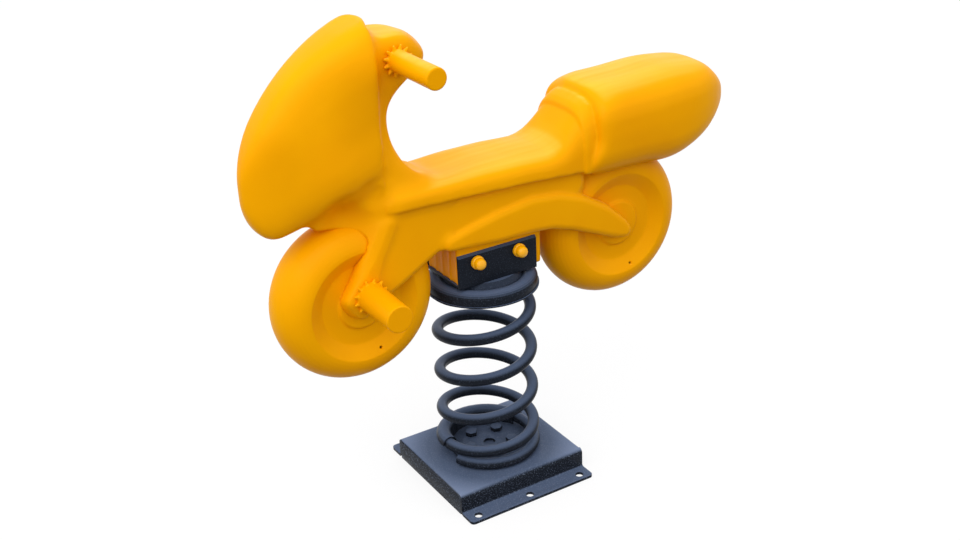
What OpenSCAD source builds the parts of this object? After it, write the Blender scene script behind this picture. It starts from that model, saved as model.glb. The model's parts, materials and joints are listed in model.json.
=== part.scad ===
// Spring rider: a moulded motorcycle on one large coil spring, bolted to the ground.
// X points to the front of the rider, Y to its left and Z up.
// The origin lies on the ground, under the middle of the base pan.

/* [Base pan] */
// Length of the base pan along the rider
pan_len = 249; // [220:1:300]
// Width of the raised top of the pan
pan_w = 220; // [200:1:260]
// Height of the top of the pan above the ground
pan_h = 40; // [30:1:60]
// Thickness of the folded steel of the pan
pan_t = 5; // [3:0.5:6]
// Outer radius of the folds in the pan
pan_bend = 9; // [7:0.5:14]
// Width of each anchor flange
flange_w = 33.5; // [28:0.5:45]
// Diameter of the anchor holes
anchor_d = 14; // [10:0.5:18]
// Distance from the pan's ends to the outer anchor holes
anchor_end = 20.5; // [14:0.5:30]
// Distance from a flange's outer edge to its anchor holes
anchor_edge = 14; // [11:0.5:18]

/* [Coil spring] */
// Diameter of the spring wire
wire_d = 20; // [16:0.5:22]
// Mean diameter of the coil
coil_d = 160; // [150:1:180]
// Rise of the open coils in one turn
coil_pitch = 77; // [60:1:85]
// Number of open turns
open_turns = 3.75; // [2.75:0.25:4.5]
// Rise of the last turn, inside the upper seat, in one turn
flat_pitch = 4; // [2:0.5:6]
// Gap between the closed first turn and the wire above it
turn_gap = 1; // [0.6:0.1:3]
// Direction in which the lower end of the wire lies, in degrees from the front
wire_start_angle = 18; // [0:1:40]

/* [Spring clamps] */
// Thickness of the clamp plates
clamp_t = 5; // [4:0.5:8]
// Gap between a clamp plate's rim and the inside of the coil
clamp_gap = 0.8; // [0.5:0.1:2]
// Diameter of the hole in the middle of the lower clamp plate
clamp_hole_d = 20; // [10:1:26]
// Diameter of the circle on which the clamp bolts stand
clamp_pcd = 80; // [70:1:84]
// Number of bolts in the lower clamp
lower_bolt_count = 5; // [3:1:6]
// Direction of the first bolt in the lower clamp, in degrees from the front
lower_bolt_angle = 4; // [0:1:30]
// Number of bolts in the upper clamp
upper_bolt_count = 4; // [3:1:4]
// Thread diameter of the clamp bolts
clamp_bolt_d = 12; // [8:1:12]
// Wall of the rolled clip that hooks over the wire
clip_t = 3; // [2:0.5:4]
// Thickness of the pressed upper seat
seat_plate_t = 4; // [3:0.5:5]
// Height of the upper seat's flat top above its lower rim
seat_plate_h = 30; // [28:0.5:36]

/* [Saddle bracket] */
// Length of the bracket along the rider
bracket_len = 150; // [130:1:170]
// Width over the bracket's two cheeks
bracket_w = 110; // [104:1:116]
// Height of the bracket's cheeks
bracket_h = 58; // [52:1:60]
// Thickness of the bracket's steel
bracket_t = 5; // [4:0.5:7]
// Distance between the two through bolts
keel_bolt_step = 80; // [60:1:100]
// Height of the through bolts above the bracket's underside
keel_bolt_rise = 41; // [34:0.5:42]
// Thread diameter of the through bolts
keel_bolt_d = 10; // [8:1:12]
// Outer diameter of the spacer tubes on the through bolts
spacer_d = 18; // [16:0.5:24]
// Gap between a through bolt's head and the dome of its cap
cap_gap = 1.3; // [1:0.1:2]
// Wall of the dome of each bolt cap
cap_wall = 1.5; // [1:0.1:2]
// Width by which the foot of each bolt cap stands out from its dome
cap_brim = 2; // [1:0.5:4]
// Thickness of the foot of each bolt cap
cap_foot_t = 6; // [4:0.5:8]

/* [Wheels] */
// Outer radius of both wheels
wheel_r = 136; // [120:1:142]
// Thickness over a wheel's two shoulders
wheel_w = 100; // [80:1:108]
// Distance from the spring's axis forward to the front wheel's centre
front_wheel_x = 241; // [235:1:250]
// Height of the front wheel's centre above the bracket's underside
front_wheel_lift = 17.5; // [8:0.5:24]
// Distance from the spring's axis back to the rear wheel's centre
rear_wheel_x = 255; // [245:1:270]
// Height of the rear wheel's centre above the bracket's underside
rear_wheel_lift = 26.5; // [18:0.5:34]
// Radial depth of the rounded tyre
tyre_depth = 44; // [36:1:50]
// Depth of the dished disc below the tyre's shoulder
disc_sink = 14; // [8:1:18]
// Radius of the raised hub ring
hub_r = 38; // [32:1:44]
// Height of the hub ring above the dished disc
hub_rise = 5; // [3:0.5:8]
// Diameter of the drain hole in each wheel
drain_d = 5; // [3:0.5:8]

/* [Moulded body] */
// Wall of the hollow moulding
wall = 6; // [4:0.5:7]
// Seam between two shells of the moulding
seam = 0.3; // [0.2:0.05:0.5]
// Height of the flat seat above the bracket's underside
seat_lift = 200.5; // [190:0.5:215]
// Thickness of the seat's rolled edge
seat_edge = 38; // [34:1:44]
// Width of the seat
seat_w = 152; // [140:1:170]
// Width of the seat's raised back
seat_back_w = 138; // [130:1:150]
// Rise of the seat's back above the seat
seat_back_rise = 72; // [60:1:80]
// Distance from the spring's axis back to the front of the tail
tail_x = 188; // [180:1:200]
// Length of the tail
tail_len = 302.5; // [280:0.5:330]
// Width of the tail
tail_w = 182; // [160:1:200]
// Height of the tail's middle line above the bracket's underside
tail_lift = 213; // [200:0.5:225]
// Rise of the tail's top above its middle line
tail_rise = 76; // [70:1:85]
// Drop of the tail's underside below its middle line
tail_drop = 84; // [70:1:90]
// Width of the side panels under the seat
side_w = 120; // [110:1:126]
// Width over the swinging arms' outer faces
arm_w = 136; // [128:1:146]
// Width over the fork legs' outer faces
fork_w = 126; // [118:1:136]
// Height of the neck's top above the bracket's underside
neck_lift = 433.5; // [420:0.5:445]
// Width of the neck
neck_w = 94; // [84:1:104]
// Depth of the handle block at the neck's top
neck_depth = 102; // [95:1:112]

/* [Fairing] */
// Distance from the spring's axis forward to the back of the fairing
fairing_x = 196; // [190:1:204]
// Length of the fairing from its back to its nose
fairing_len = 207; // [190:1:220]
// Width of the fairing at its back
fairing_w = 138; // [120:1:160]
// Height of the nose's tip above the bracket's underside
nose_lift = 229; // [220:0.5:240]
// Rise of the fairing's top above the nose's tip
fairing_rise = 230; // [220:1:245]
// Drop of the fairing's chin below the nose's tip
chin_drop = 74.5; // [68:0.5:80]
// Height of the fairing's underside at its back, above the bracket's underside
fairing_lift = 206.5; // [203:0.5:214]

/* [Handles and footrests] */
// Outer diameter of the steel tubes in the handles and the footrests
tube_d = 27; // [22:0.5:28]
// Gap between a tube and the bores it passes through
tube_gap = 0.3; // [0.2:0.05:0.5]
// Distance from the spring's axis forward to the handles
handle_x = 155; // [148:1:160]
// Distance from the neck's top down to the middle of the handles
handle_drop = 37; // [30:0.5:44]
// Diameter of the handles
handle_d = 36; // [33:0.5:40]
// Distance from the middle plane to a handle's end
handle_reach = 166; // [150:1:190]
// Distance from the spring's axis forward to the footrests
footrest_x = 238; // [230:1:243]
// Height of the footrests above the bracket's underside
footrest_lift = 42.5; // [36:0.5:47]
// Diameter of the footrests
footrest_d = 41; // [36:0.5:44]
// Distance from the middle plane to a footrest's end
footrest_reach = 162; // [150:1:180]
// Thickness of the closed end of a handle or footrest
grip_end_t = 6; // [4:0.5:10]
// Length of the serrated collar at the foot of a handle or footrest
collar_len = 10; // [6:0.5:14]
// Height of the collar's teeth
tooth_h = 6; // [3:0.5:8]
// Number of teeth around a collar
tooth_count = 12; // [10:1:20]

/* [Hidden] */

$fn = 64;
yellow = "#F7AA02";
cap_yellow = "#FFC006";
steel_grey = "#3A424E";
zinc = "#9AA0A6";

// One overrun that every cut shares, one clearance between steel pieces, and half a step of a ring
overrun = 1;
fit_gap = 0.3;
half_share = 0.5;

// Driving values turned into the places that several pieces share
wire_r = wire_d / 2;
coil_r = coil_d / 2;
lying_turns = 0.2;
ramp_turns = 0.4;
opening_turns = 0.73;
closing_turns = 0.59;
climb_pitch = (wire_d + turn_gap) / (1 - lying_turns - ramp_turns / 2);
seated_turns = 0.75;
seat_wrap_share = 0.985;
total_turns = 1 + open_turns + seated_turns;
wire_z = pan_h + wire_r + fit_gap;
clamp_r = coil_r - wire_r - clamp_gap;
clamp_top_z = pan_h + clamp_t;
anchor_step = pan_len / 2 - anchor_end;

// Height of the wire's middle after a number of turns from its lower end
function eased(turns, ramp) =
  turns <= 0 ? 0 : turns < ramp ? turns * turns / (2 * ramp) : turns - ramp / 2;
function wire_height(turns) =
  wire_z + climb_pitch * eased(turns - lying_turns, ramp_turns)
  + (coil_pitch - climb_pitch) * eased(turns - 1, opening_turns)
  - (coil_pitch - flat_pitch) * eased(turns - 1 - open_turns, closing_turns);
function wire_angle(turns) = wire_start_angle + 360 * turns;

wire_top_z = wire_height(total_turns) + wire_r;
seat_rim_z = wire_top_z - wire_d * seat_wrap_share;
seat_flat_z = seat_rim_z + seat_plate_h;
bracket_z = seat_flat_z;
keel_z = bracket_z + bracket_t;
keel_bolt_z = bracket_z + keel_bolt_rise;
keel_w = bracket_w - 2 * bracket_t;
front_wheel_z = bracket_z + front_wheel_lift;
rear_wheel_z = bracket_z + rear_wheel_lift;
seat_z = bracket_z + seat_lift;
side_z = seat_z - seat_edge;
tail_z = bracket_z + tail_lift;
neck_top_z = bracket_z + neck_lift;
nose_z = bracket_z + nose_lift;
fairing_back_z = bracket_z + fairing_lift;
handle_z = neck_top_z - handle_drop;
footrest_z = bracket_z + footrest_lift;

// Smooth curve through rows of shares: column 0 is the place, the other columns are values
function row_slope(rows, i, column) =
  let (a = max(i - 1, 0), b = min(i + 1, len(rows) - 1))
  (rows[b][column] - rows[a][column]) / (rows[b][0] - rows[a][0]);
function row_before(rows, place, i = 0) =
  i >= len(rows) - 2 || place < rows[i + 1][0] ? i : row_before(rows, place, i + 1);
function smooth_at(rows, place, column = 1) =
  let (
    i = row_before(rows, place),
    step = rows[i + 1][0] - rows[i][0],
    u = (place - rows[i][0]) / step,
    leave = row_slope(rows, i, column) * step,
    meet = row_slope(rows, i + 1, column) * step
  )
  (2 * u ^ 3 - 3 * u ^ 2 + 1) * rows[i][column] + (u ^ 3 - 2 * u ^ 2 + u) * leave
  + (3 * u ^ 2 - 2 * u ^ 3) * rows[i + 1][column] + (u ^ 3 - u ^ 2) * meet;

// Share of a rounded rectangle's half size at an angle: boxiness 2 is an ellipse, more is squarer
function rounded(angle, boxiness) = sign(cos(angle)) * abs(cos(angle)) ^ (2 / boxiness);

// Ring of points across X: a rounded rectangle between two heights
function oval_ring(x, half, low, high, boxiness, points) = [
  for (k = [0 : points - 1])
    let (a = 360 * k / points)
    [x, half * rounded(a, boxiness), (high + low) / 2 + (high - low) / 2 * rounded(a - 90, boxiness)]
];

// Closed skin over rings of points, all with the same even count, with a ladder of faces at each end
module skin(rings) {
  n = len(rings[0]);
  last = (len(rings) - 1) * n;
  sides = [
    for (i = [0 : len(rings) - 2], j = [0 : n - 1])
      let (a = i * n + j, b = i * n + (j + 1) % n)
      each [[a, a + n, b], [b, a + n, b + n]]
  ];
  ends = [
    for (j = [0 : n / 2 - 2])
      let (a = j, b = j + 1, c = n - 2 - j, d = n - 1 - j)
      each [[a, b, c], [a, c, d], [last + a, last + c, last + b], [last + a, last + d, last + c]]
  ];
  polyhedron([for (ring = rings) each ring], concat(sides, ends));
}

module across(x, z) {
  translate([x, 0, z]) rotate([90, 0, 0]) children();
}

module cross_bar(x, z, d, length) {
  across(x, z) cylinder(d = d, h = length, center = true);
}

// Hexagon bolts and nuts, standing on the plane z = 0
hex_share = 1.6;
head_share = 0.65;
nut_share = 0.85;
function hex_d(thread_d) = thread_d * hex_share / cos(30);

module hex_prism(thread_d, height_share) {
  cylinder(d = hex_d(thread_d), h = thread_d * height_share, $fn = 6);
}

module bolt(thread_d, length) {
  hex_prism(thread_d, head_share);
  translate([0, 0, -length]) cylinder(d = thread_d, h = length);
}

module nut(thread_d) {
  difference() {
    hex_prism(thread_d, nut_share);
    translate([0, 0, -overrun]) cylinder(d = thread_d, h = thread_d * nut_share + 2 * overrun);
  }
}

// Base pan

module pan_section() {
  inner = pan_bend - pan_t;
  half = pan_w / 2;
  translate([-half + pan_bend, pan_h - pan_t]) square([pan_w - 2 * pan_bend, pan_t]);
  for (side = [0, 1]) mirror([side, 0]) {
    translate([half - pan_bend, pan_h - pan_bend]) quarter_ring(pan_bend, inner);
    translate([half - pan_t, pan_bend]) square([pan_t, pan_h - 2 * pan_bend]);
    translate([half - pan_t + pan_bend, pan_bend]) rotate(180) quarter_ring(pan_bend, inner);
    translate([half - pan_t + pan_bend, 0]) square([flange_w + pan_t - pan_bend, pan_t]);
  }
}

module quarter_ring(outer, inner) {
  intersection() {
    difference() {
      circle(outer);
      circle(inner);
    }
    square(outer);
  }
}

module base_pan() color(steel_grey) {
  difference() {
    union() {
      rotate([90, 0, 90]) linear_extrude(pan_len, center = true) pan_section();
      for (side = [-1, 1]) translate([side * (pan_len - pan_t) / 2, 0, (pan_h - pan_t) / 2])
        cube([pan_t, pan_w - 2 * pan_t, pan_h - pan_t], center = true);
    }
    for (i = [-1 : 1], side = [-1, 1])
      translate([i * anchor_step, side * (pan_w / 2 + flange_w - anchor_edge), -overrun])
        cylinder(d = anchor_d, h = pan_t + 2 * overrun);
    lower_bolt_holes();
  }
}

// Lower clamp

module lower_bolt_place(i) {
  rotate(lower_bolt_angle + 360 * i / lower_bolt_count)
    translate([clamp_pcd / 2, 0, clamp_top_z]) children();
}

module lower_bolt_holes() {
  for (i = [0 : lower_bolt_count - 1]) lower_bolt_place(i)
    cylinder(d = clamp_bolt_d + 2 * fit_gap, h = 2 * pan_h, center = true);
}

module lower_clamp_plate() color(steel_grey) {
  difference() {
    translate([0, 0, pan_h]) cylinder(r = clamp_r, h = clamp_t);
    translate([0, 0, pan_h - overrun]) cylinder(d = clamp_hole_d, h = clamp_t + 2 * overrun);
    lower_bolt_holes();
  }
}

module lower_clamp_bolts() color(steel_grey) {
  for (i = [0 : lower_bolt_count - 1]) lower_bolt_place(i)
    bolt(clamp_bolt_d, clamp_t + pan_t + clamp_bolt_d * nut_share);
}

module lower_clamp_nuts() color(zinc) {
  for (i = [0 : lower_bolt_count - 1]) lower_bolt_place(i)
    translate([0, 0, -clamp_t - pan_t - clamp_bolt_d * nut_share]) nut(clamp_bolt_d);
}

// Rolled clip: a skirt that stands on the clamp plate's rim and hooks over the wire
clip_turn_shares = [0.5, 0.95];
clip_rings = 20;
clip_bends = 8;
clip_outer_angle = -10;
clip_inner_angle = 180;

function clip_ring(turns) =
  let (
    a = wire_angle(turns),
    z = wire_height(turns),
    near = wire_r + clamp_gap,
    far = near + clip_t,
    step = (clip_inner_angle - clip_outer_angle) / clip_bends,
    under = [for (b = [clip_outer_angle : step : clip_inner_angle]) [near * cos(b), z + near * sin(b)]],
    over = [for (b = [clip_inner_angle : -step : clip_outer_angle]) [far * cos(b), z + far * sin(b)]],
    foot = [[-near, clamp_top_z], [-far, clamp_top_z]]
  )
  [for (p = concat(under, foot, over)) [(coil_r + p[0]) * cos(a), (coil_r + p[0]) * sin(a), p[1]]];

module lower_spring_clip() color(steel_grey) {
  start = clip_turn_shares[0];
  wrap = clip_turn_shares[1] - start;
  skin([for (i = [0 : clip_rings]) clip_ring(start + wrap * i / clip_rings)]);
}

// Coil spring: one wire from its square end on the pan to the flat turn inside the upper seat
rings_per_turn = 24;
wire_sides = 10;
wire_rings = round(rings_per_turn * total_turns);

function ring_turns(i) = total_turns * i / wire_rings;
function wire_middle(i) =
  let (a = wire_angle(ring_turns(i)))
  [coil_r * cos(a), coil_r * sin(a), wire_height(ring_turns(i))];
function wire_ring(i) =
  let (a = wire_angle(ring_turns(i)), middle = wire_middle(i))
  [for (k = [0 : wire_sides - 1]) let (b = 360 * k / wire_sides)
    middle + wire_r * [cos(b) * cos(a), cos(b) * sin(a), -sin(b)]];

wire_middles = [for (i = [0 : wire_rings]) wire_middle(i)];
least_turn_gap = min([
  for (i = [0 : wire_rings], j = [i + rings_per_turn / 2 : 1 : wire_rings])
    norm(wire_middles[i] - wire_middles[j])
]) - wire_d;
echo(least_gap_between_turns = least_turn_gap);

module coil_spring() color(steel_grey) {
  skin([for (i = [0 : wire_rings]) wire_ring(i)]);
}

// Upper spring seat: a pressed cover that rolls over the last turn and carries the bracket
seat_flat_share = 0.78;
seat_roll_angle = 140;
seat_roll_bends = 10;
seat_lip = 2;

function seat_arc(r) = [
  for (k = [0 : seat_roll_bends])
    let (b = seat_roll_angle * k / seat_roll_bends)
    [coil_r + r * cos(b), wire_top_z - wire_r + r * sin(b)]
];

module seat_section() {
  near = wire_r + fit_gap;
  far = near + seat_plate_t;
  flat_r = coil_r * seat_flat_share;
  flat_under_z = seat_flat_z - seat_plate_t;
  top = concat(seat_arc(far), [[flat_r, seat_flat_z], [0, seat_flat_z]]);
  under = concat(seat_arc(near), [[flat_r - seat_plate_t, flat_under_z], [0, flat_under_z]]);
  polygon(concat(top, [for (i = [len(under) - 1 : -1 : 0]) under[i]]));
  translate([coil_r + near, seat_rim_z]) square([seat_plate_t, wire_top_z - wire_r - seat_rim_z]);
  translate([coil_r + near, seat_rim_z]) square([seat_plate_t + seat_lip, seat_lip]);
}

module upper_bolt_place(i) {
  rotate((i + half_share) * 360 / upper_bolt_count)
    translate([clamp_pcd / 2, 0, keel_z]) children();
}

module upper_bolt_holes() {
  for (i = [0 : upper_bolt_count - 1]) upper_bolt_place(i)
    cylinder(d = clamp_bolt_d + 2 * fit_gap, h = 2 * seat_plate_h, center = true);
}

module upper_spring_seat() color(steel_grey) {
  difference() {
    rotate_extrude() seat_section();
    upper_bolt_holes();
  }
}

// Upper clamp: a plate under the seat with a hook that runs below the last turn
plate_r_share = 0.72;
hook_r_share = 0.8;
hook_reach_share = 1.04;
hook_gap = 1.5;
upper_plate_z = seat_flat_z - seat_plate_t - clamp_t;
upper_plate_r = coil_r * plate_r_share;
flat_start_turns = 1 + open_turns + closing_turns;
hook_z = wire_height(flat_start_turns) - wire_r - hook_gap;
// The hook stands between two nuts, at the last such place before the wire's end
nut_step = 360 / upper_bolt_count;
hook_angle = nut_step - 2 * asin((hex_d(clamp_bolt_d) / 2 + hook_gap) / (clamp_pcd / 2));
hook_middle = floor(wire_angle(total_turns) / nut_step) * nut_step;

module hook_section() {
  plate_r = upper_plate_r - fit_gap;
  hook_r = coil_r * hook_r_share;
  plate_top_z = upper_plate_z + clamp_t;
  polygon([
    [plate_r - clamp_t, plate_top_z],
    [plate_r - clamp_t, upper_plate_z],
    [hook_r - clamp_t, hook_z - clamp_t],
    [coil_r * hook_reach_share, hook_z - clamp_t],
    [coil_r * hook_reach_share, hook_z],
    [hook_r, hook_z],
    [plate_r, upper_plate_z],
    [plate_r, plate_top_z]
  ]);
}

module upper_clamp_plate() color(steel_grey) {
  difference() {
    union() {
      translate([0, 0, upper_plate_z]) cylinder(r = upper_plate_r, h = clamp_t);
      rotate(hook_middle - hook_angle / 2) rotate_extrude(angle = hook_angle) hook_section();
    }
    upper_bolt_holes();
  }
}

module upper_clamp_bolts() color(steel_grey) {
  for (i = [0 : upper_bolt_count - 1]) upper_bolt_place(i)
    bolt(clamp_bolt_d, bracket_t + seat_plate_t + clamp_t + clamp_bolt_d * nut_share);
}

module upper_clamp_nuts() color(zinc) {
  grip = bracket_t + seat_plate_t + clamp_t;
  for (i = [0 : upper_bolt_count - 1]) upper_bolt_place(i)
    translate([0, 0, -grip - clamp_bolt_d * nut_share]) nut(clamp_bolt_d);
}

// Saddle bracket and its two through bolts
bracket_edge = 4;

module saddle_bracket() color(steel_grey) {
  outline = [
    [-bracket_w / 2, 0], [bracket_w / 2, 0],
    [bracket_w / 2, bracket_h - bracket_edge], [bracket_w / 2 - bracket_edge, bracket_h],
    [keel_w / 2, bracket_h], [keel_w / 2, bracket_t],
    [-keel_w / 2, bracket_t], [-keel_w / 2, bracket_h],
    [bracket_edge - bracket_w / 2, bracket_h], [-bracket_w / 2, bracket_h - bracket_edge]
  ];
  difference() {
    translate([0, 0, bracket_z]) rotate([90, 0, 90])
      linear_extrude(bracket_len, center = true) polygon(outline);
    upper_bolt_holes();
    keel_bars(keel_bolt_d + 2 * fit_gap, bracket_w + 2 * overrun);
  }
}

module keel_bars(d, length) {
  for (end = [-1, 1]) cross_bar(end * keel_bolt_step / 2, keel_bolt_z, d, length);
}

module keel_spacers() color(zinc) {
  difference() {
    keel_bars(spacer_d, keel_w);
    keel_bars(keel_bolt_d + 2 * fit_gap, keel_w + 2 * overrun);
  }
}

cap_foot_y = bracket_w / 2 + cap_foot_t;
cap_dome_d = hex_d(keel_bolt_d) + 2 * (cap_gap + cap_wall);
cap_foot_d = cap_dome_d + 2 * cap_brim;

module keel_bolts() color(zinc) {
  for (end = [-1, 1]) translate([end * keel_bolt_step / 2, cap_foot_y, keel_bolt_z])
    rotate([-90, 0, 0]) bolt(keel_bolt_d, 2 * cap_foot_y + keel_bolt_d * nut_share);
}

module keel_nuts() color(zinc) {
  for (end = [-1, 1]) translate([end * keel_bolt_step / 2, -cap_foot_y, keel_bolt_z])
    rotate([90, 0, 0]) nut(keel_bolt_d);
}

module at_caps() {
  for (end = [-1, 1], side = [0, 1]) translate([end * keel_bolt_step / 2, 0, keel_bolt_z])
    mirror([0, side, 0]) rotate([-90, 0, 0]) children();
}

module bolt_cap_feet() color(cap_yellow) {
  at_caps() difference() {
    translate([0, 0, bracket_w / 2]) cylinder(d = cap_foot_d, h = cap_foot_t);
    translate([0, 0, bracket_w / 2 - overrun])
      cylinder(d = keel_bolt_d + 2 * fit_gap, h = cap_foot_t + 2 * overrun);
  }
}

cap_side_share = 0.45;
cap_side = keel_bolt_d * cap_side_share;

module bolt_cap_domes() color(cap_yellow) {
  at_caps() translate([0, 0, cap_foot_y]) difference() {
    dome(cap_dome_d / 2, cap_side);
    translate([0, 0, -overrun]) cylinder(d = cap_dome_d - 2 * cap_wall, h = cap_side + overrun);
    dome(cap_dome_d / 2 - cap_wall, cap_side);
  }
}

module dome(r, side) {
  intersection() {
    translate([0, 0, side]) sphere(r);
    cylinder(r = r, h = side + r);
  }
  cylinder(r = r, h = side);
}

// Wheels: hollow discs with a rounded tyre, a dished face and a raised hub ring
tyre_bends = 10;
tyre_boxiness = 2;
disc_share = 0.74;
hub_slope = 4;
drain_angle = 254;
drain_share = 0.62;

function wheel_side(inset) =
  let (
    shoulder = wheel_r - tyre_depth,
    half = wheel_w / 2 - inset,
    floor_y = wheel_w / 2 - disc_sink - inset
  )
  concat(
    [[0, floor_y + hub_rise], [hub_r - inset, floor_y + hub_rise], [hub_r + hub_slope - inset, floor_y],
      [shoulder * disc_share + inset, floor_y]],
    [for (k = [0 : tyre_bends]) let (a = 90 - 90 * k / tyre_bends)
      [shoulder + (tyre_depth - inset) * rounded(a, tyre_boxiness), half * rounded(90 - a, tyre_boxiness)]]
  );

module wheel_form(inset) {
  side = wheel_side(inset);
  far = [for (i = [len(side) - 2 : -1 : 0]) [side[i][0], -side[i][1]]];
  rotate([90, 0, 0]) rotate_extrude() polygon(concat(side, far));
}

module drain_hole() {
  rotate([0, -drain_angle, 0]) translate([wheel_r * drain_share, 0, 0]) rotate([-90, 0, 0])
    cylinder(d = drain_d, h = wheel_w);
}

module wheel() {
  difference() {
    wheel_form(0);
    wheel_form(wall);
    drain_hole();
  }
}

module at_front_wheel() {
  translate([front_wheel_x, 0, front_wheel_z]) children();
}

module at_rear_wheel() {
  translate([-rear_wheel_x, 0, rear_wheel_z]) children();
}

module front_wheel() color(yellow) {
  difference() {
    at_front_wheel() wheel();
    cross_bar(footrest_x, footrest_z, tube_d + 2 * tube_gap, wheel_w);
  }
}

module rear_wheel() color(yellow) {
  at_rear_wheel() wheel();
}

// Front fairing: sections across X that close to a rounded nose
fairing_stations = 16;
fairing_points = 32;
fairing_boxiness = 3.7;
fairing_top_curve = 1.225;
fairing_plan_curve = 1.8;
fairing_chin_share = 0.79;
nose_end_share = 0.995;

function fairing_ring(share, inset) =
  let (
    x = fairing_x + inset + (fairing_len - 2 * inset) * share,
    high = nose_z + (fairing_rise - inset) * sqrt(1 - share ^ fairing_top_curve),
    chin_z = nose_z - chin_drop + inset,
    back_z = fairing_back_z + inset,
    slope_z = back_z + (chin_z - back_z) * min(share / fairing_chin_share, 1),
    chin = max(share - fairing_chin_share, 0) / (1 - fairing_chin_share),
    low = nose_z - (nose_z - slope_z) * sqrt(1 - chin ^ 2),
    half = (fairing_w / 2 - inset) * sqrt(1 - share ^ fairing_plan_curve)
  )
  oval_ring(x, half, low, high, fairing_boxiness, fairing_points);

module fairing_form(inset) {
  skin([
    for (i = [0 : fairing_stations])
      fairing_ring(nose_end_share * sin(90 * i / fairing_stations), inset)
  ]);
}

module front_fairing() color(yellow) {
  difference() {
    fairing_form(0);
    fairing_form(wall);
  }
}

// Neck: sections across Z, flat against the fairing, with a round bay behind it under the handle block
neck_stations = 26;
neck_points = 18;
neck_boxiness = 4;
neck_shares = [
  [0, 0.94, 1.12], [0.05, 0.78, 1.08], [0.11, 0.6, 1.04], [0.17, 0.45, 1], [0.25, 0.345, 0.97],
  [0.35, 0.285, 0.95], [0.44, 0.27, 0.95], [0.505, 0.29, 0.95], [0.585, 0.385, 0.96], [0.655, 0.56, 0.98],
  [0.71, 0.76, 1], [0.77, 0.95, 1], [0.825, 1, 1], [0.88, 0.985, 1], [0.935, 0.88, 1],
  [0.975, 0.73, 0.975], [1, 0.55, 0.9]
];

function neck_ring(share, inset) =
  let (
    z = seat_z + inset + (neck_top_z - seat_z - 2 * inset) * share,
    depth = neck_depth * smooth_at(neck_shares, share, 1) - 2 * inset,
    half = neck_w / 2 * smooth_at(neck_shares, share, 2) - inset
  )
  [for (k = [0 : neck_points - 1]) let (a = 180 * k / (neck_points - 1) - 90)
    [fairing_x - inset - depth * rounded(a, neck_boxiness), -half * rounded(a - 90, neck_boxiness), z]];

module neck_form(inset) {
  skin([for (i = [0 : neck_stations]) neck_ring(i / neck_stations, inset)]);
}

module neck_shell() color(yellow) {
  difference() {
    neck_form(0);
    neck_form(wall);
    cross_bar(handle_x, handle_z, tube_d + 2 * tube_gap, neck_w + 2 * overrun);
  }
}

// Seat: sections across X with a flat underside, which rise into the back rest
seat_stations = 26;
seat_points = 18;
seat_boxiness = 3.6;
seat_shares = [
  [0, 0, 0.8], [0.03, 0, 0.88], [0.08, 0, 0.91], [0.2, 0, 0.91], [0.4, 0, 0.97], [0.6, 0, 1], [0.72, 0, 1],
  [0.785, 0.04, 0.99], [0.85, 0.22, 0.97], [0.907, 0.52, 0.94], [0.966, 0.84, 0.915], [1, 0.96, 0.91]
];

function seat_ring(share, inset) =
  let (
    x = fairing_x - inset - (fairing_x + tail_x - 2 * inset) * share,
    low = side_z + inset,
    high = seat_z + seat_back_rise * smooth_at(seat_shares, share, 1) - inset,
    narrow = (1 - smooth_at(seat_shares, share, 2)) / (1 - seat_shares[len(seat_shares) - 1][2]),
    half = (seat_w - (seat_w - seat_back_w) * narrow) / 2 - inset
  )
  [for (k = [0 : seat_points - 1]) let (a = 180 * k / (seat_points - 1))
    [x, -half * rounded(a, seat_boxiness), low + (high - low) * rounded(a - 90, seat_boxiness)]];

module seat_form(inset) {
  skin([for (i = [0 : seat_stations]) seat_ring(i / seat_stations, inset)]);
}

module seat_shell() color(yellow) {
  difference() {
    seat_form(0);
    seat_form(wall);
  }
}

// Tail: sections across X, wider than the seat, with a rounded end and a bay over the rear wheel
tail_stations = 24;
tail_points = 28;
tail_boxiness = 3;
tail_crowding = 1.2;
tail_shares = [
  [0, 0.82, 0.84, 0.89], [0.025, 0.92, 0.95, 0.975], [0.07, 0.955, 1, 1], [0.3, 0.975, 1.01, 1],
  [0.52, 1.02, 1.03, 0.985], [0.68, 0.98, 0.88, 0.93], [0.82, 0.88, 0.68, 0.775], [0.93, 0.54, 0.37, 0.535],
  [0.985, 0.3, 0.22, 0.325], [1, 0.14, 0.1, 0.18]
];

function tail_ring(share, inset) =
  let (
    x = -tail_x - inset - (tail_len - 2 * inset) * share,
    high = tail_z + (tail_rise - inset) * smooth_at(tail_shares, share, 1),
    low = tail_z - (tail_drop - inset) * smooth_at(tail_shares, share, 2),
    half = (tail_w / 2 - inset) * smooth_at(tail_shares, share, 3)
  )
  oval_ring(x, -half, low, high, tail_boxiness, tail_points);

module tail_form(inset) {
  skin([
    for (i = [0 : tail_stations])
      tail_ring(1 - cos(90 * i / tail_stations) ^ tail_crowding, inset)
  ]);
}

module wheel_bay(gap) {
  cross_bar(-rear_wheel_x, rear_wheel_z, 2 * (wheel_r + gap), wheel_w + 2 * gap);
}

module tail_shell() color(yellow) {
  difference() {
    tail_form(0);
    difference() {
      tail_form(wall);
      wheel_bay(seam + wall);
    }
    wheel_bay(seam);
  }
}

// Body: rounded side panels, webs, fork legs and swinging arms around both wheels, with the keel below
cheek_z = bracket_z + bracket_h;
side_h = side_z - cheek_z;
body_edge = 10;
edge_limit_share = 0.6;
pebble_facets = 28;

module pebble(place, half) {
  edge = min(body_edge, place[2] * edge_limit_share);
  across(place[0], place[1]) for (a = [0, 45, 90]) {
    r = place[2] - edge * (1 - cos(a));
    h = 2 * (half - edge * (1 - sin(a)));
    cylinder(r = r, h = h, center = true, $fn = pebble_facets);
  }
}

module panel(places, half) {
  hull() for (place = places) pebble(place, half);
}

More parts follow.
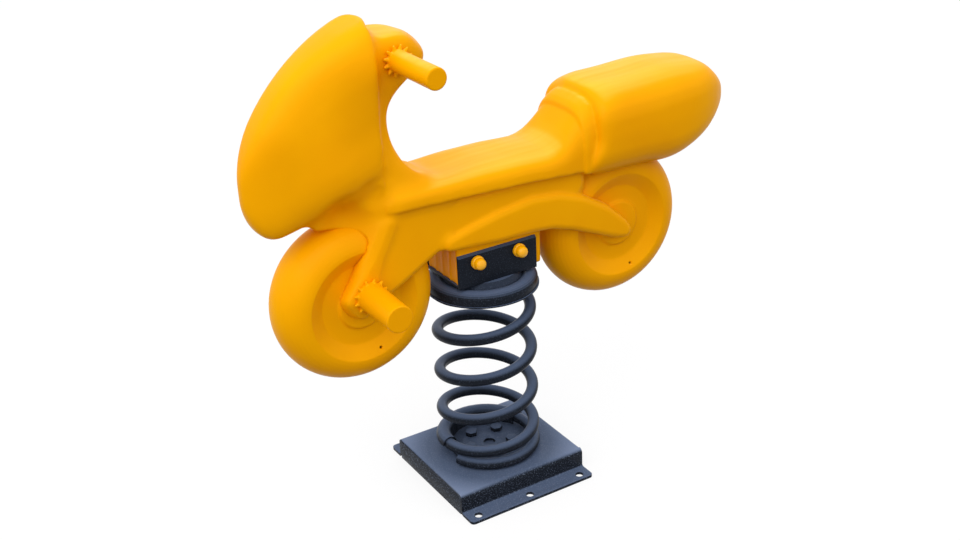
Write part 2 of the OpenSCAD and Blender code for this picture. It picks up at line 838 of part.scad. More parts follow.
// Place of a rounded corner from shares: along to a wheel's centre, up the side, and its radius
function side_place(share) = [
  share[0] * (share[0] > 0 ? front_wheel_x : rear_wheel_x),
  cheek_z + share[1] * side_h,
  share[2] * side_h
];
function drawn_in(places, inset) = [for (p = places) [p[0], p[1], p[2] - inset]];

side_shares = [[-0.56, 0.71, 0.29], [-0.29, 0.33, 0.25], [0.31, 0.42, 0.25], [0.78, 0.71, 0.29]];
web_shares = [[0.45, 0.5, 0.27], [0.78, 0.06, 0.26], [0.78, 0.71, 0.29]];
fork_web_shares = [[0.78, 0.06, 0.26], [0.78, 0.71, 0.29]];
fork_shares = [[0.79, 0.85, 0.13], [0.9, 0.37, 0.14]];

// Guard: a wedge below the fairing, with its half width as the last share
guard_shares = [
  [0.83, 0.85, 0.2, 0.95], [0.85, 1.43, 0.19, 1.28], [1.05, 1.39, 0.19, 1.12], [1.2, 1.05, 0.14, 0.7]
];
guard_w = neck_w;

// Lower end of the fork legs, which reach past the footrests
fork_over = 17;
fork_end_r = 26;
fork_web_r = 22;
fork_end = [footrest_x + fork_over, footrest_z - fork_over];

function side_places(shares) = [for (s = shares) side_place(s)];

// Middle line of an arm: share along it from its front tip, rise over the rear wheel's centre, radius
arm_tip_x = 88;
arm_rise = 73;
arm_r = 32;
arm_shares = [
  [0, 0.85, 0.38], [0.11, 0.9, 0.62], [0.257, 0.945, 0.85], [0.446, 1, 1], [0.577, 0.93, 1],
  [0.703, 0.73, 0.97], [0.845, 0.39, 0.85], [0.95, 0.07, 0.63], [0.99, -0.05, 0.42]
];
arm_places = [
  for (s = arm_shares)
    [arm_tip_x - (arm_tip_x + rear_wheel_x) * s[0], rear_wheel_z + arm_rise * s[1], arm_r * s[2]]
];

module chain(places, half) {
  for (i = [0 : len(places) - 2]) panel([places[i], places[i + 1]], half);
}

module side_panels(inset) {
  fork_web = concat(side_places(fork_web_shares), [concat(fork_end, [fork_web_r])]);
  for (places = [side_places(side_shares), side_places(web_shares), fork_web])
    panel(drawn_in(places, inset), side_w / 2 - inset);
}

module front_guard() {
  intersection() {
    hull() for (share = guard_shares) pebble(side_place(share), guard_w / 2 * share[3]);
    translate([fairing_x, -guard_w, cheek_z]) cube([fairing_len, 2 * guard_w, 2 * side_h]);
  }
}

// Keel: the block between the bracket's cheeks, with upright ribs on its front
keel_len_share = 0.96;
keel_over = 12;
keel_rib_count = 5;
keel_rib_d = 9;
keel_top_share = 0.33;
keel_top_z = cheek_z + side_h * keel_top_share;
pocket_gap = 3;
pocket_d = hex_d(clamp_bolt_d) + 2 * pocket_gap;

module keel() {
  length = bracket_len * keel_len_share;
  width = keel_w - 2 * fit_gap;
  back = bracket_len / 2 + keel_over;
  translate([-back, -width / 2, keel_z]) cube([back + length / 2, width, keel_top_z - keel_z]);
  rib_step = (width - keel_rib_d) / (keel_rib_count - 1);
  for (i = [0 : keel_rib_count - 1])
    translate([(length - keel_rib_d) / 2 + overrun, (keel_rib_d - width) / 2 + i * rib_step, keel_z])
      cylinder(d = keel_rib_d, h = keel_top_z - keel_z);
}

module body_shell() color(yellow) {
  difference() {
    union() {
      side_panels(0);
      chain(concat(side_places(fork_shares), [concat(fork_end, [fork_end_r])]), fork_w / 2);
      chain(arm_places, arm_w / 2);
      front_guard();
      keel();
    }
    side_panels(wall);
    at_front_wheel() wheel_form(-seam);
    at_rear_wheel() wheel_form(-seam);
    fairing_form(-seam);
    keel_bars(spacer_d + 2 * fit_gap, arm_w);
    cross_bar(footrest_x, footrest_z, tube_d + 2 * tube_gap, fork_w + 2 * overrun);
    for (i = [0 : upper_bolt_count - 1]) upper_bolt_place(i)
      cylinder(d = pocket_d, h = 2 * clamp_bolt_d, center = true);
  }
}

// Handles and footrests: closed sleeves with a serrated collar, pushed onto steel tubes
tooth_share = 0.45;
tooth_root_share = 0.9;
tooth_clear = 0.6;

module sleeve(d, foot, reach) {
  depth = reach - grip_end_t - foot;
  difference() {
    union() {
      translate([0, 0, foot]) cylinder(d = d, h = reach - foot);
      for (i = [0 : tooth_count - 1]) rotate((i + half_share) * 360 / tooth_count)
        translate([0, 0, foot + tooth_clear]) tooth(d);
    }
    translate([0, 0, foot - overrun]) cylinder(d = tube_d + 2 * tube_gap, h = depth + overrun);
  }
}

module tooth(d) {
  root = d / 2 * tooth_root_share;
  rotate([90, 0, 0]) linear_extrude(PI * d / tooth_count * tooth_share, center = true)
    polygon([[root, 0], [d / 2 + tooth_h, 0], [root, collar_len]]);
}

module handle_sleeve() {
  translate([handle_x, 0, handle_z]) rotate([-90, 0, 0])
    sleeve(handle_d, neck_w / 2 + seam, handle_reach);
}

module footrest_sleeve() {
  translate([footrest_x, 0, footrest_z]) rotate([-90, 0, 0])
    sleeve(footrest_d, fork_w / 2 + seam, footrest_reach);
}

module handlebar_tube() color(zinc) {
  steel_tube(handle_x, handle_z, 2 * (handle_reach - grip_end_t));
}

module footrest_tube() color(zinc) {
  steel_tube(footrest_x, footrest_z, 2 * (footrest_reach - grip_end_t));
}

tube_t = 2.5;

module steel_tube(x, z, length) {
  difference() {
    cross_bar(x, z, tube_d, length);
    cross_bar(x, z, tube_d - 2 * tube_t, length + 2 * overrun);
  }
}

module left_handle() color(yellow) {
  handle_sleeve();
}

module right_handle() color(yellow) {
  mirror([0, 1, 0]) handle_sleeve();
}

module left_footrest() color(yellow) {
  footrest_sleeve();
}

module right_footrest() color(yellow) {
  mirror([0, 1, 0]) footrest_sleeve();
}

base_pan();
lower_clamp_plate();
lower_spring_clip();
lower_clamp_bolts();
lower_clamp_nuts();
coil_spring();
upper_spring_seat();
upper_clamp_plate();
upper_clamp_bolts();
upper_clamp_nuts();
saddle_bracket();
keel_spacers();
keel_bolts();
keel_nuts();
bolt_cap_feet();
bolt_cap_domes();
body_shell();
seat_shell();
tail_shell();
neck_shell();
front_fairing();
front_wheel();
rear_wheel();
handlebar_tube();
left_handle();
right_handle();
footrest_tube();
left_footrest();
right_footrest();
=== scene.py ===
# %% [markdown]
# # A spring rider, dressed
# The rider is a child's motorcycle in yellow polyethylene on one large coil spring, which is clamped to a
# steel pan that bolts to the ground. The CAD model already gives every size and place. This lesson makes the
# pieces that show the skin, the soft edges and the finish of the real ones, and works in metres throughout.

# %% Load the frame
import json
import math

import bpy
from mathutils import Matrix, Vector

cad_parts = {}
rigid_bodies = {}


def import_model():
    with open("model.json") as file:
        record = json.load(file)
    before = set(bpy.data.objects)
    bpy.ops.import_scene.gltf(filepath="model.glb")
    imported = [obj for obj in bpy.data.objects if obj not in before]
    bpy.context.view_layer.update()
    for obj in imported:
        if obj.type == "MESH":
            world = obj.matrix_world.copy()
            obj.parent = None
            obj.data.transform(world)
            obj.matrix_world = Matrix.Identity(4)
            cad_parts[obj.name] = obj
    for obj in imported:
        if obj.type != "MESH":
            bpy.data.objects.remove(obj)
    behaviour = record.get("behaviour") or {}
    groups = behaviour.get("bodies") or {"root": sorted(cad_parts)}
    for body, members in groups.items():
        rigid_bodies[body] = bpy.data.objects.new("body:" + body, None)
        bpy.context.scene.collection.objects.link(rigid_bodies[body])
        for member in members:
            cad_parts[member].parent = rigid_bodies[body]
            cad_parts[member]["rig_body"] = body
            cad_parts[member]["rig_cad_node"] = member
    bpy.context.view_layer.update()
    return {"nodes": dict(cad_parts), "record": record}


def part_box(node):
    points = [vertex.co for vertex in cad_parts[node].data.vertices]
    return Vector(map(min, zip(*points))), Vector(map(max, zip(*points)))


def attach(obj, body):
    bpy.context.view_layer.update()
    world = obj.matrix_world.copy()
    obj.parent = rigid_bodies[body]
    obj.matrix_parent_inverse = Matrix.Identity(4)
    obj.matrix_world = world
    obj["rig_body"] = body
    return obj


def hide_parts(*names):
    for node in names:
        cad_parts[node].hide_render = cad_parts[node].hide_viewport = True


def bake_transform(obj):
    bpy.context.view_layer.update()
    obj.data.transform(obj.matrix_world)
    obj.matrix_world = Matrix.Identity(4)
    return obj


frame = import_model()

MM = 0.001

# %% [markdown]
# ## Camera
# The photograph was taken from the rider's front left, a little above the seat, with a normal lens. A camera
# can be aimed by hand or with a constraint. Here its axes are worked out from three angles and written into
# its matrix, because the slight roll is then exact: it looks at a point on the spring's axis.

# %% Camera
TURN, RISE, ROLL = (math.radians(a) for a in (59.6, 25.5, -2.7))
DISTANCE = 2.1919
SENSOR_MM, FOCAL_PIXELS, IMAGE_PIXELS = 36, 1308, 960
aim = Vector((0.0021, -0.0012, 0.3838))
away = Vector((math.cos(TURN) * math.cos(RISE), math.sin(TURN) * math.cos(RISE), math.sin(RISE)))
right = (-away).cross(Vector((0, 0, 1))).normalized()
up = right.cross(-away)
rolled_right = math.cos(ROLL) * right + math.sin(ROLL) * up
rolled_up = math.cos(ROLL) * up - math.sin(ROLL) * right
place = aim + DISTANCE * away
bpy.ops.object.select_all(action="DESELECT")
bpy.ops.object.camera_add()
camera = bpy.context.object
camera.name = "photo_camera"
camera.matrix_world = Matrix((
    (rolled_right.x, rolled_up.x, away.x, place.x),
    (rolled_right.y, rolled_up.y, away.y, place.y),
    (rolled_right.z, rolled_up.z, away.z, place.z),
    (0, 0, 0, 1)))
camera.data.sensor_width = SENSOR_MM
camera.data.lens = SENSOR_MM * FOCAL_PIXELS / IMAGE_PIXELS
bpy.context.scene.camera = camera
bpy.context.scene.view_settings.view_transform = "Standard"
print("camera at", tuple(round(c, 3) for c in place))

# %% [markdown]
# ## Material helper
# Each material is a small tree of nodes. One function adds a node with its settings and its inputs, which are
# values or links, and one turns an sRGB hex colour into the linear values that Blender mixes. On a colour Mix
# node, input 0 is the share, inputs 6 and 7 are the two colours, and output 2 is the result.

# %% Material helper
def linear(hex_colour):
    parts = [int(hex_colour[i:i + 2], 16) / 255 for i in (1, 3, 5)]
    return tuple(p / 12.92 if p <= 0.04045 else ((p + 0.055) / 1.055) ** 2.4 for p in parts) + (1,)


def add(tree, kind, inputs=None, **settings):
    made = tree.nodes.new(kind)
    for name, value in settings.items():
        setattr(made, name, value)
    for socket, value in (inputs or {}).items():
        if isinstance(value, bpy.types.NodeSocket):
            tree.links.new(value, made.inputs[socket])
        else:
            made.inputs[socket].default_value = value
    return made


def start_material(name, **settings):
    material = bpy.data.materials.new(name)
    material.use_nodes = True
    tree = material.node_tree
    shader = tree.nodes["Principled BSDF"]
    for socket, value in settings.items():
        shader.inputs[socket.replace("_", " ")].default_value = value
    where = add(tree, "ShaderNodeTexCoord").outputs["Object"]
    return material, tree, shader, where


print("material helper ready")

# %% [markdown]
# ## Studio
# A plain pale floor lies under an even, cloudy sky that is slightly brighter overhead. A white floor would
# throw much light up under the rider, so this one is a middle grey with a white glow that only the camera and
# reflections see. It still takes the rider's shadow. The sky is white in the same way.

# %% Studio floor
FLOOR_SIZE, FLOOR_GLOW = 60, 0.82


def seen_directly(tree):
    rays = add(tree, "ShaderNodeLightPath").outputs
    seen = add(tree, "ShaderNodeMath", {0: rays["Is Camera Ray"], 1: rays["Is Glossy Ray"]},
               operation="MAXIMUM")
    return add(tree, "ShaderNodeMath", {0: seen.outputs[0], 1: rays["Is Transmission Ray"]},
               operation="MAXIMUM").outputs[0]


bpy.ops.object.select_all(action="DESELECT")
bpy.ops.mesh.primitive_plane_add(size=FLOOR_SIZE, location=(0, 0, 0))
floor = bpy.context.object
floor.name = "studio_floor"
paper, tree, shader, where = start_material("studio_white_paper", Roughness=1, Specular_IOR_Level=0)
shader.inputs["Base Color"].default_value = linear("#707070")
shader.inputs["Emission Color"].default_value = (1, 1, 1, 1)
glow = add(tree, "ShaderNodeMath", {0: seen_directly(tree), 1: FLOOR_GLOW}, operation="MULTIPLY")
tree.links.new(glow.outputs[0], shader.inputs["Emission Strength"])
floor.data.materials.append(paper)
print("floor", tuple(floor.dimensions))

# %% [markdown]
# ## Sky and lamp
# Most of the light comes from the whole sky, as outdoors under cloud, so no side of the rider goes black. One
# large, weak lamp above the rider's front gives the forms a light side.

# %% Sky and lamp
SKY_LOW, SKY_HIGH = (0.94, 0.95, 0.97, 1), (1.22, 1.23, 1.25, 1)
LAMP_PLACE, LAMP_SIZE, LAMP_WATTS = (1.9, 1.2, 2.9), 3, 45
world = bpy.data.worlds.new("cloudy_sky")
bpy.context.scene.world = world
world.use_nodes = True
tree = world.node_tree
heights = add(tree, "ShaderNodeSeparateXYZ", {0: add(tree, "ShaderNodeTexCoord").outputs["Generated"]})
shades = add(tree, "ShaderNodeValToRGB", {"Fac": heights.outputs["Z"]})
shades.color_ramp.elements[0].color = SKY_LOW
shades.color_ramp.elements[1].color = SKY_HIGH
white = add(tree, "ShaderNodeMix", {0: seen_directly(tree), 6: shades.outputs["Color"], 7: (1, 1, 1, 1)},
            data_type="RGBA")
tree.links.new(white.outputs[2], tree.nodes["Background"].inputs["Color"])
bpy.ops.object.light_add(type="AREA", location=LAMP_PLACE)
lamp = bpy.context.object
lamp.name = "front_softbox"
lamp.data.size = LAMP_SIZE
lamp.data.energy = LAMP_WATTS
lamp.rotation_euler = (aim - lamp.location).to_track_quat("-Z", "Y").to_euler()
print("lamp", lamp.name, lamp.data.energy, "W")

# %% [markdown]
# ## Yellow polyethylene
# The moulding is polyethylene powder melted inside a turning mould. That gives a satin, slightly waxy skin
# with a faint grain from the mould and soft waves where the wall cooled unevenly. The up-facing tops behind
# the fairing get a painted sheen: a pale highlight in lengthwise streaks, in place of the sky's reflection.
# The grain of about 1 mm is drawn at 4 mm, since it wouldn't show otherwise.

# %% Yellow polyethylene colour
CLOUD, RUB, GRAIN, WAVE = 150 * MM, 35 * MM, 4 * MM, 50 * MM
STREAKS_PER_M = (4, 60, 4)
FAIRING_BACK = 0.20
moulding, tree, shader, where = start_material("rotomoulded_polyethylene_yellow", IOR=1.5,
                                               Specular_IOR_Level=0.04)
clouds = add(tree, "ShaderNodeTexNoise", {"Vector": where, "Scale": 1 / CLOUD, "Detail": 3})
tints = add(tree, "ShaderNodeValToRGB", {"Fac": clouds.outputs["Fac"]})
for stop, position, colour in zip(tints.color_ramp.elements, (0.3, 0.7), ("#F5A300", "#FBAD00")):
    stop.position, stop.color = position, linear(colour)
# Painted sheen: faces that point up, behind the fairing, are mixed towards pale yellow #FFD058 in lengthwise
# streaks, as a painted highlight standing in for the sky's reflection.
facing = add(tree, "ShaderNodeSeparateXYZ", {0: add(tree, "ShaderNodeNewGeometry").outputs["Normal"]})
upward = add(tree, "ShaderNodeMapRange", {"Value": facing.outputs["Z"], "From Min": 0.72, "From Max": 0.98,
                                          "To Min": 0, "To Max": 0.75}, interpolation_type="SMOOTHSTEP")
along = add(tree, "ShaderNodeSeparateXYZ", {0: where})
behind_fairing = add(tree, "ShaderNodeMapRange", {"Value": along.outputs["X"], "From Min": FAIRING_BACK,
                                          "From Max": FAIRING_BACK - 0.02})
lengthwise = add(tree, "ShaderNodeMapping", {"Vector": where, "Scale": STREAKS_PER_M})
streaks = add(tree, "ShaderNodeTexNoise", {"Vector": lengthwise.outputs["Vector"], "Scale": 1, "Detail": 4})
sheen_on_tops = add(tree, "ShaderNodeMath", {0: upward.outputs["Result"], 1: behind_fairing.outputs["Result"]},
              operation="MULTIPLY")
painted_top_sheen = add(tree, "ShaderNodeMath", {0: sheen_on_tops.outputs[0], 1: streaks.outputs["Fac"]}, operation="MULTIPLY")
skin_tint_and_sheen = add(tree, "ShaderNodeMix", {0: painted_top_sheen.outputs[0], 6: tints.outputs["Color"], 7: linear("#FFD058")},
                data_type="RGBA")
tree.links.new(skin_tint_and_sheen.outputs[2], shader.inputs["Base Color"])
print("material", moulding.name)

# %% Yellow polyethylene surface
rubs = add(tree, "ShaderNodeTexNoise", {"Vector": where, "Scale": 1 / RUB, "Detail": 5, "Roughness": 0.65})
gloss = add(tree, "ShaderNodeMapRange", {"Value": rubs.outputs["Fac"], "From Min": 0.3, "From Max": 0.7,
                                         "To Min": 0.3, "To Max": 0.42})
tree.links.new(gloss.outputs["Result"], shader.inputs["Roughness"])
grain = add(tree, "ShaderNodeTexNoise", {"Vector": where, "Scale": 1 / GRAIN, "Detail": 2})
waves = add(tree, "ShaderNodeTexNoise", {"Vector": where, "Scale": 1 / WAVE, "Detail": 1})
fine = add(tree, "ShaderNodeBump", {"Height": grain.outputs["Fac"], "Strength": 0.1, "Distance": 0.5 * MM})
soft = add(tree, "ShaderNodeBump", {"Height": waves.outputs["Fac"], "Strength": 0.2, "Distance": 1 * MM,
                                    "Normal": fine.outputs["Normal"]})
tree.links.new(soft.outputs["Normal"], shader.inputs["Normal"])
print("nodes in", moulding.name, len(tree.nodes))

# %% [markdown]
# ## Copies of the CAD shells
# The wheels, fairing, neck, seat, tail and side panels are one moulding, so their creases are soft. The CAD
# solids already have the right sizes, so the skin starts from copies of them and isn't modelled again. A
# copy's triangles are loose, so they are merged first. The hollow inside of a shell isn't seen, so only the
# outer wall is kept: it is the one that reaches furthest to the side.

# %% Selection helpers
def pick(*objects):
    if bpy.context.mode != "OBJECT":
        bpy.ops.object.mode_set(mode="OBJECT")
    bpy.ops.object.select_all(action="DESELECT")
    for o in objects:
        o.select_set(True)
    bpy.context.view_layer.objects.active = objects[0]
    return objects[0]


def edit(piece, kind="VERT"):
    pick(piece)
    bpy.ops.object.mode_set(mode="EDIT")
    bpy.ops.mesh.select_mode(type=kind)
    bpy.ops.mesh.select_all(action="DESELECT")


def done():
    bpy.ops.object.mode_set(mode="OBJECT")


print("selection helpers ready")


# %% Copy helpers
def copy_of(node, name):
    pick(frame["nodes"][node])
    bpy.ops.object.duplicate()
    bpy.ops.object.parent_clear(type="CLEAR_KEEP_TRANSFORM")
    piece = bpy.context.object
    piece.name = piece.data.name = name
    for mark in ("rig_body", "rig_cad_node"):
        del piece[mark]
    piece.data.materials.clear()
    edit(piece)
    bpy.ops.mesh.select_all(action="SELECT")
    bpy.ops.mesh.remove_doubles(threshold=0.002 * MM)
    done()
    return piece


def keep_outer(piece):
    far = max(piece.data.vertices, key=lambda v: abs(v.co.y)).index
    edit(piece)
    done()
    piece.data.vertices[far].select = True
    bpy.ops.object.mode_set(mode="EDIT")
    bpy.ops.mesh.select_linked()
    bpy.ops.mesh.select_all(action="INVERT")
    bpy.ops.mesh.delete(type="VERT")
    done()
    return piece


print("copy helpers ready")


# %% Finishing helpers
def modify(piece, kind, **settings):
    pick(piece)
    bpy.ops.object.modifier_add(type=kind)
    modifier = piece.modifiers[-1]
    for name, value in settings.items():
        setattr(modifier, name, value)
    bpy.ops.object.modifier_apply(modifier=modifier.name)
    return piece


def thin_out(piece, most_faces):
    faces = len(piece.data.polygons)
    if faces > most_faces:
        modify(piece, "DECIMATE", ratio=most_faces / faces)


def shade(piece, sharp_angle=None):
    pick(piece)
    if sharp_angle is None:
        bpy.ops.object.shade_smooth()
    else:
        bpy.ops.object.shade_smooth_by_angle(angle=math.radians(sharp_angle))


def finish_piece(piece, body, material, slot, *nodes):
    piece.data.materials.clear()
    piece.data.materials.append(material)
    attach(piece, body)
    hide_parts(*nodes)
    print(piece.name, len(piece.data.polygons), "faces")


print("finishing helpers ready")

# %% Shells to join
moulded = ["body_shell", "seat_shell", "tail_shell", "neck_shell", "front_fairing"]
wheels = ["front_wheel", "rear_wheel"]
shell = {node: copy_of(node, node + "_copy") for node in moulded + wheels}
for node in ("seat_shell", "tail_shell", "front_fairing"):
    keep_outer(shell[node])
print("shell copies:", {node: len(piece.data.polygons) for node, piece in shell.items()})

# %% [markdown]
# ## Plugs for the bores
# Steel tubes for the handles and the footrests cross the moulding, so the CAD shells have bores there. The
# sleeves hide these, and a bore would spoil the growing and drawing back below, so a plug closes each one.

# %% Plugs for the bores
HANDLE_X, HANDLE_Z = 0.155, 0.786
FOOTREST_X, FOOTREST_Z = 0.238, 0.432


def plug(x, z, radius, half_length):
    bpy.ops.object.select_all(action="DESELECT")
    bpy.ops.mesh.primitive_cylinder_add(vertices=48, radius=radius, depth=2 * half_length,
                                        location=(x, 0, z), rotation=(math.pi / 2, 0, 0))
    bpy.ops.object.transform_apply()
    return bpy.context.object


handle_plug = plug(HANDLE_X, HANDLE_Z, 0.018, 0.044)
footrest_plug = plug(FOOTREST_X, FOOTREST_Z, 0.019, 0.060)
print("plugs:", tuple(handle_plug.dimensions), tuple(footrest_plug.dimensions))

# %% [markdown]
# ## Soft creases
# Where the neck grows out of the seat, and where the fairing turns under towards the wheel, the moulding has
# wide hollow rounds. Sculpting them by hand would be slow. Here a copy of those shells is grown outwards and
# drawn back by the same reach: outer shapes return to their place, and inner corners stay filled by a round.
# Small pulls on the form, as by a sculptor's grab brush, are made with a Warp modifier between two empties.

# %% Joining helpers
def duplicate(piece):
    pick(piece)
    bpy.ops.object.duplicate()
    return bpy.context.object


def cut_off(piece, point, outward):
    edit(piece)
    bpy.ops.mesh.select_all(action="SELECT")
    bpy.ops.mesh.bisect(plane_co=point, plane_no=outward, use_fill=True, clear_outer=True)
    done()
    return piece


def join(name, *objects):
    piece = pick(*objects)
    bpy.ops.object.join()
    piece.name = piece.data.name = name
    return piece


print("joining helpers ready")


# %% Crease helpers
def remesh(piece, voxel):
    modify(piece, "REMESH", mode="VOXEL", voxel_size=voxel)
    return keep_outer(piece)


def fill_creases(piece, reach, voxel):
    remesh(piece, voxel)
    modify(piece, "DISPLACE", strength=reach, mid_level=0)
    remesh(piece, voxel)
    modify(piece, "SMOOTH", factor=0.5, iterations=3)
    modify(piece, "DISPLACE", strength=-reach, mid_level=0)
    return remesh(piece, voxel)


def nudge(piece, point, shift, reach):
    # Both sides are pulled alike, so a point on the middle plane moves by twice its shift.
    for side in (1, -1):
        ends = []
        for at in (Vector(point), Vector(point) + Vector(shift)):
            bpy.ops.object.select_all(action="DESELECT")
            bpy.ops.object.empty_add(location=at * Vector((1, side, 1)))
            ends.append(bpy.context.object)
        modify(piece, "WARP", object_from=ends[0], object_to=ends[1], falloff_radius=reach,
               falloff_type="SMOOTH")
        pick(*ends)
        bpy.ops.object.delete()


print("crease helpers ready")

# %% [markdown]
# ## Seat edge
# The seat is a long saddle whose lower edge falls towards the tail and rises towards the neck. The CAD shell
# has a straight edge, so four wide pulls bend it, each given as a point, a shift and a reach.

# %% Seat edge
SEAT_PULLS = (
    ((-0.19, 0.07, 0.55), (0, 0, -0.011), 0.17),    # lower edge at the back, down
    ((0.13, 0.062, 0.550), (0, 0, 0.007), 0.13),    # lower edge at the front, up
    ((0.12, 0, 0.595), (0, 0, -0.0075), 0.12),      # top at the front, down
    ((-0.09, 0, 0.595), (0, 0, 0.002), 0.07))       # top at the back, up
seat = remesh(shell["seat_shell"], 3 * MM)
for pull in SEAT_PULLS:
    nudge(seat, *pull)
print("seat:", len(seat.data.polygons), "faces")

# %% [markdown]
# ## Neck and fairing
# The neck is joined to the front of the seat, and then to the fairing and the upper flank of the body. The
# hollow rounds form where they meet, and the neck's foot has the wider one.

# %% Neck and fairing
NECK_ROUND, FAIRING_ROUND = 26 * MM, 18 * MM
seat_front = cut_off(duplicate(seat), (0.03, 0, 0), (-1, 0, 0))
neck_root = fill_creases(join("neck_root", shell["neck_shell"], seat_front, handle_plug), NECK_ROUND, 4 * MM)
print("neck root:", len(neck_root.data.polygons), "faces")
flank = remesh(join("body_flank", duplicate(shell["body_shell"]), duplicate(footrest_plug)), 3.5 * MM)
cut_off(cut_off(flank, (0, 0, 0.40), (0, 0, -1)), (0.08, 0, 0), (-1, 0, 0))
front = fill_creases(join("front_flow", neck_root, shell["front_fairing"], flank), FAIRING_ROUND, 3.5 * MM)
print("front flow:", len(front.data.polygons), "faces")

# %% [markdown]
# ## Tail
# The tail is a pillow-like box behind the seat. Its rim leans forward at the bottom and back at the top. The
# rim's second, lower step could be an inset loop. A slightly grown copy of the seat's back end gives it here,
# because it then follows the seat. A rounded block fills the corner above the rear wheel.

# %% Tail
TAIL_PULLS = (
    ((-0.19, 0.088, 0.53), (0.022, 0, 0), 0.07),            # foot of the rim, forward
    ((-0.188, 0.065, 0.675), (-0.006, 0, -0.004), 0.05),    # top of the rim, back and down
    ((-0.38, 0.060, 0.530), (0, 0, -0.004), 0.10))          # underside, down
COLLAR_X, COLLAR_STEP = -0.168, 5 * MM
ARCH_LOW, ARCH_HIGH, ARCH_ROUND = (-0.182, -0.056, 0.488), (-0.120, 0.056, 0.556), 20 * MM


def rounded_block(low, high, width):
    bpy.ops.object.select_all(action="DESELECT")
    bpy.ops.mesh.primitive_cube_add(size=1, location=[(a + b) / 2 for a, b in zip(low, high)],
                                    scale=[b - a for a, b in zip(low, high)])
    bpy.ops.object.transform_apply()
    return modify(bpy.context.object, "BEVEL", width=width, segments=6)


tail = remesh(shell["tail_shell"], 3 * MM)
modify(tail, "SMOOTH", factor=0.5, iterations=20)
for pull in TAIL_PULLS:
    nudge(tail, *pull)
collar = cut_off(duplicate(seat), (COLLAR_X, 0, 0), (1, 0, 0))
modify(collar, "DISPLACE", strength=COLLAR_STEP, mid_level=0)
arch = rounded_block(ARCH_LOW, ARCH_HIGH, ARCH_ROUND)
print("tail:", len(tail.data.polygons), "faces")

# %% [markdown]
# ## Moulding skin
# The copies and plugs are joined and remeshed into one closed skin. A boolean union would keep every sharp
# corner, and a remesh lets them be relaxed, as a moulding's are. The cavities inside come along as separate
# islands and are dropped. Ten pulls then bring the fairing, neck and fork to their fuller or slimmer form.

# %% Moulding skin
SKIN_PULLS = (
    ((0.255, 0.046, 0.558), (0, -0.020, 0.004), 0.055),     # throat below the fairing, in
    ((0.215, 0.060, 0.590), (0, -0.012, 0), 0.035),         # fairing's lower back corner, in
    ((0.200, 0, 0.842), (-0.005, 0, 0.0005), 0.045),        # fairing's tip, back
    ((0.205, 0.066, 0.695), (0, -0.006, 0), 0.09),          # fairing's back edge, in
    ((0.300, 0.055, 0.765), (0, -0.007, 0), 0.10),          # fairing's upper front, in
    ((0.270, 0.064, 0.615), (0, 0.006, 0), 0.08),           # fairing's cheek, out
    ((0.100, 0.030, 0.808), (0.004, 0, -0.004), 0.04),      # handle block's back, forward and down
    ((0.330, 0, 0.560), (0.001, 0, -0.0015), 0.09),         # fairing's chin, down
    ((0.300, 0, 0.790), (0.0012, 0, 0.001), 0.10),          # fairing's brow, forward and up
    ((0.270, 0.058, 0.405), (-0.009, 0, 0.009), 0.035))     # fork's lower end, back and up
SKIN_FACES = 98000
skin = join("moulding_skin", shell["body_shell"], front, seat, tail, collar, arch, footrest_plug)
remesh(skin, 2.5 * MM)
print("remeshed:", len(skin.data.polygons), "faces")
for pull in SKIN_PULLS:
    nudge(skin, *pull)
modify(skin, "SMOOTH", factor=0.5, iterations=4)
modify(skin, "DISPLACE", strength=0.8 * MM, mid_level=0)    # what the smoothing took off
thin_out(skin, SKIN_FACES)
shade(skin)
finish_piece(skin, "rider", moulding, "yellow_moulding", *moulded)

# %% [markdown]
# ## Wheels
# Each wheel is a fixed disc with a round tread, a dished side, a hub and a small drain hole. It could be spun
# from a profile, but the CAD copy already has the hole and the dish. A fine remesh softens its edges.

# %% Wheels
WHEEL_FACES = 45000
for node in wheels:
    wheel = remesh(shell[node], 1.6 * MM)
    wheel.name = wheel.data.name = node + "_skin"
    modify(wheel, "SMOOTH", factor=0.5, iterations=2)
    thin_out(wheel, WHEEL_FACES)
    shade(wheel)
    finish_piece(wheel, "rider", moulding, "yellow_moulding", node)

# %% [markdown]
# ## Powder-coated steel
# Pan, clamps, spring and bracket are mild or spring steel under a dark blue-grey powder coat. Powder that is
# baked on flows to a satin film with a slight orange peel, and coarse grains leave pale specks, which are
# drawn at 2 mm so that they show. Splashes add to them near the ground. What faces up gets a painted sheen,
# paler and bluer like a reflected sky, strongest on the pan's corners and left off near the spring's shade.

# %% Powder-coated steel colour
BLOTCH, SPECK, PEEL = 30 * MM, 2.2 * MM, 3 * MM
powder, tree, shader, where = start_material("powder_coated_steel", IOR=1.5, Specular_IOR_Level=0.07)
shader.inputs["Specular Tint"].default_value = linear("#C6D6F0")
blotch = add(tree, "ShaderNodeTexNoise", {"Vector": where, "Scale": 1 / BLOTCH, "Detail": 3})
film = add(tree, "ShaderNodeMix", {0: blotch.outputs["Fac"], 6: linear("#14171D"), 7: linear("#1E222A")},
           data_type="RGBA")
